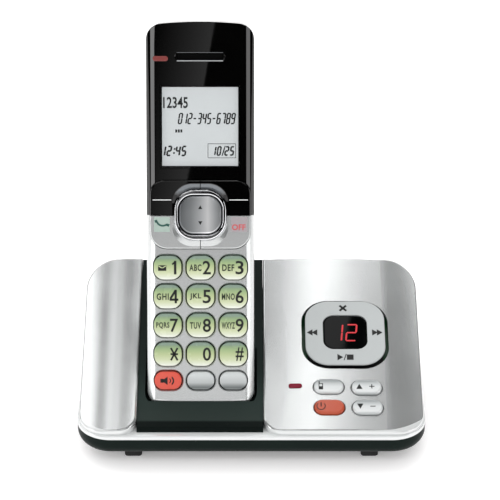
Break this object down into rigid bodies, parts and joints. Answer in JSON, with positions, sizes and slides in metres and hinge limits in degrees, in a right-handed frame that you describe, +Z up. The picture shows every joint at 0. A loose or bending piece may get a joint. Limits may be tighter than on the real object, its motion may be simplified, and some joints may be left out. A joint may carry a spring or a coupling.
{
  "type": "answering machine",
  "caption": "Desk answering machine: sloping silver and dark base with message ring, display and keys, and a cordless handset standing in its charging cradle.",
  "frame": {"origin": "centre of the footprint of the whole object, on the surface it stands on", "axes": "+X to the user's right, +Y from the front edge to the back, +Z up; the handset leans back towards +Y"},
  "size_m": [0.15, 0.1002, 0.1721],
  "materials": {
    "silver_painted_abs": "fine silver metallic paint on moulded ABS",
    "dark_green_black_abs": "smooth moulded ABS, dark green-black",
    "black_gloss_abs": "high-gloss black",
    "charcoal_abs": "fine spark-textured charcoal ABS",
    "green_key_resin": "translucent green keycap resin",
    "orange_red_key": "translucent orange-red keycap resin",
    "grey_key": "silver-grey keycap",
    "white_key": "white keycap",
    "silver_panel_key": "silver painted keycap",
    "black_panel_key": "gloss black keycap",
    "pale_grey_ring": "satin pale grey ABS",
    "bright_chrome": "chrome-plated ABS",
    "brushed_cap": "brushed metal-effect cap",
    "smoked_window": "smoked acrylic",
    "display_lens": "clear acrylic lens",
    "lcd_glass": "reflective liquid-crystal panel",
    "red_lamp": "red light guide",
    "led_module": "black two-digit LED module",
    "green_circuit_board": "solder-masked glass-epoxy board",
    "silicone": "black silicone",
    "foot_rubber": "black rubber",
    "black_nylon": "black moulded nylon",
    "nickel_strip": "nickel-plated contact strip",
    "zinc_screw": "zinc-plated steel",
    "battery_sleeve": "shrink sleeve"
  },
  "bodies": {
    "base": {"bottom_housing": "dark_green_black_abs", "top_housing": "silver_painted_abs", "cradle_insert": "dark_green_black_abs", "base_circuit_board": "green_circuit_board", "message_display": "led_module", "display_window": "smoked_window", "in_use_light": "red_lamp", "base_key_mat": "silicone", "base_speaker": "black_nylon", "line_jack": "black_nylon", "power_jack": "black_nylon", "base_feet": "foot_rubber", "base_screws": "zinc_screw"},
    "handset": {"handset_front_cover": "silver_painted_abs", "handset_faceplate": "black_gloss_abs", "handset_back_cover": "charcoal_abs", "handset_circuit_board": "green_circuit_board", "lcd_module": "lcd_glass", "lcd_window": "display_lens", "earpiece": "black_nylon", "handset_speaker": "black_nylon", "microphone": "black_nylon", "keypad_web": "silicone", "handset_charge_pads": "nickel_strip", "handset_screws": "zinc_screw", "charge_light": "red_lamp", "battery_pack": "battery_sleeve", "rocker_trim": "bright_chrome"},
    "message_ring_support": {"message_ring_support": "silicone"},
    "message_ring": {"message_ring": "pale_grey_ring"},
    "charge_contacts": {"charge_contacts": "nickel_strip"},
    "battery_door": {"battery_door": "charcoal_abs"},
    "volume_rocker": {"volume_rocker": "brushed_cap"},
    "key_1": {"key_1": "green_key_resin"},
    "key_2": {"key_2": "green_key_resin"},
    "key_3": {"key_3": "green_key_resin"},
    "key_4": {"key_4": "green_key_resin"},
    "key_5": {"key_5": "green_key_resin"},
    "key_6": {"key_6": "green_key_resin"},
    "key_7": {"key_7": "green_key_resin"},
    "key_8": {"key_8": "green_key_resin"},
    "key_9": {"key_9": "green_key_resin"},
    "key_star": {"key_star": "green_key_resin"},
    "key_0": {"key_0": "green_key_resin"},
    "key_hash": {"key_hash": "green_key_resin"},
    "speakerphone_key": {"speakerphone_key": "orange_red_key"},
    "mute_key": {"mute_key": "grey_key"},
    "intercom_key": {"intercom_key": "grey_key"},
    "talk_key": {"talk_key": "silver_panel_key"},
    "off_key": {"off_key": "silver_panel_key"},
    "redial_key": {"redial_key": "black_panel_key"},
    "menu_key": {"menu_key": "black_panel_key"},
    "find_handset_key": {"find_handset_key": "white_key"},
    "answer_on_off_key": {"answer_on_off_key": "orange_red_key"},
    "volume_up_key": {"volume_up_key": "white_key"},
    "volume_down_key": {"volume_down_key": "white_key"}
  },
  "joints": [
    {"name": "handset_lift", "type": "slide", "parent": "base", "child": "handset", "axis": [0, 0.3907, 0.9205], "range_m": [0, 0.09]},
    {"name": "key_1_press", "type": "slide", "parent": "handset", "child": "key_1", "axis": [0, 0.9205, -0.3907], "range_m": [0, 0.0007], "stiffness_N_per_m": 400},
    {"name": "key_2_press", "type": "slide", "parent": "handset", "child": "key_2", "axis": [0, 0.9205, -0.3907], "range_m": [0, 0.0007], "stiffness_N_per_m": 400},
    {"name": "key_3_press", "type": "slide", "parent": "handset", "child": "key_3", "axis": [0, 0.9205, -0.3907], "range_m": [0, 0.0007], "stiffness_N_per_m": 400},
    {"name": "key_4_press", "type": "slide", "parent": "handset", "child": "key_4", "axis": [0, 0.9205, -0.3907], "range_m": [0, 0.0007], "stiffness_N_per_m": 400},
    {"name": "key_5_press", "type": "slide", "parent": "handset", "child": "key_5", "axis": [0, 0.9205, -0.3907], "range_m": [0, 0.0007], "stiffness_N_per_m": 400},
    {"name": "key_6_press", "type": "slide", "parent": "handset", "child": "key_6", "axis": [0, 0.9205, -0.3907], "range_m": [0, 0.0007], "stiffness_N_per_m": 400},
    {"name": "key_7_press", "type": "slide", "parent": "handset", "child": "key_7", "axis": [0, 0.9205, -0.3907], "range_m": [0, 0.0007], "stiffness_N_per_m": 400},
    {"name": "key_8_press", "type": "slide", "parent": "handset", "child": "key_8", "axis": [0, 0.9205, -0.3907], "range_m": [0, 0.0007], "stiffness_N_per_m": 400},
    {"name": "key_9_press", "type": "slide", "parent": "handset", "child": "key_9", "axis": [0, 0.9205, -0.3907], "range_m": [0, 0.0007], "stiffness_N_per_m": 400},
    {"name": "key_star_press", "type": "slide", "parent": "handset", "child": "key_star", "axis": [0, 0.9205, -0.3907], "range_m": [0, 0.0007], "stiffness_N_per_m": 400},
    {"name": "key_0_press", "type": "slide", "parent": "handset", "child": "key_0", "axis": [0, 0.9205, -0.3907], "range_m": [0, 0.0007], "stiffness_N_per_m": 400},
    {"name": "key_hash_press", "type": "slide", "parent": "handset", "child": "key_hash", "axis": [0, 0.9205, -0.3907], "range_m": [0, 0.0007], "stiffness_N_per_m": 400},
    {"name": "speakerphone_key_press", "type": "slide", "parent": "handset", "child": "speakerphone_key", "axis": [0, 0.9205, -0.3907], "range_m": [0, 0.0007], "stiffness_N_per_m": 400},
    {"name": "mute_key_press", "type": "slide", "parent": "handset", "child": "mute_key", "axis": [0, 0.9205, -0.3907], "range_m": [0, 0.0007], "stiffness_N_per_m": 400},
    {"name": "intercom_key_press", "type": "slide", "parent": "handset", "child": "intercom_key", "axis": [0, 0.9205, -0.3907], "range_m": [0, 0.0007], "stiffness_N_per_m": 400},
    {"name": "talk_key_press", "type": "slide", "parent": "handset", "child": "talk_key", "axis": [0, 0.9205, -0.3907], "range_m": [0, 0.0006], "stiffness_N_per_m": 400},
    {"name": "off_key_press", "type": "slide", "parent": "handset", "child": "off_key", "axis": [0, 0.9205, -0.3907], "range_m": [0, 0.0006], "stiffness_N_per_m": 400},
    {"name": "redial_key_press", "type": "slide", "parent": "handset", "child": "redial_key", "axis": [0, 0.9205, -0.3907], "range_m": [0, 0.0006], "stiffness_N_per_m": 400},
    {"name": "menu_key_press", "type": "slide", "parent": "handset", "child": "menu_key", "axis": [0, 0.9205, -0.3907], "range_m": [0, 0.0006], "stiffness_N_per_m": 400},
    {"name": "find_handset_key_press", "type": "slide", "parent": "base", "child": "find_handset_key", "axis": [0, 0.3295, -0.9441], "range_m": [0, 0.0007], "stiffness_N_per_m": 400},
    {"name": "answer_on_off_key_press", "type": "slide", "parent": "base", "child": "answer_on_off_key", "axis": [0, 0.3295, -0.9441], "range_m": [0, 0.0007], "stiffness_N_per_m": 400},
    {"name": "volume_up_key_press", "type": "slide", "parent": "base", "child": "volume_up_key", "axis": [0, 0.3295, -0.9441], "range_m": [0, 0.0007], "stiffness_N_per_m": 400},
    {"name": "volume_down_key_press", "type": "slide", "parent": "base", "child": "volume_down_key", "axis": [0, 0.3295, -0.9441], "range_m": [0, 0.0007], "stiffness_N_per_m": 400},
    {"name": "charge_contacts_spring", "type": "slide", "parent": "base", "child": "charge_contacts", "axis": [0, -0.3907, -0.9205], "range_m": [0, 0.0006], "stiffness_N_per_m": 500},
    {"name": "volume_rocker_tip", "type": "hinge", "parent": "handset", "child": "volume_rocker", "pos_m": [-0.0218, 0.0006, 0.09592], "axis": [1, 0, 0], "range_deg": [-3, 3], "stiffness_Nm_per_rad": 0.05},
    {"name": "message_ring_sideways_tip", "type": "hinge", "parent": "base", "child": "message_ring_support", "pos_m": [0.0412, 0.00252, 0.03013], "axis": [0, 0.9441, 0.3295], "range_deg": [-2, 2], "stiffness_Nm_per_rad": 0.3},
    {"name": "message_ring_fore_aft_tip", "type": "hinge", "parent": "message_ring_support", "child": "message_ring", "pos_m": [0.0412, 0.00084, 0.03495], "axis": [1, 0, 0], "range_deg": [-2, 2], "stiffness_Nm_per_rad": 0.3},
    {"name": "battery_door_slide", "type": "slide", "parent": "handset", "child": "battery_door", "axis": [0, -0.4303, -0.9027], "range_m": [0, 0.006]}
  ]
}
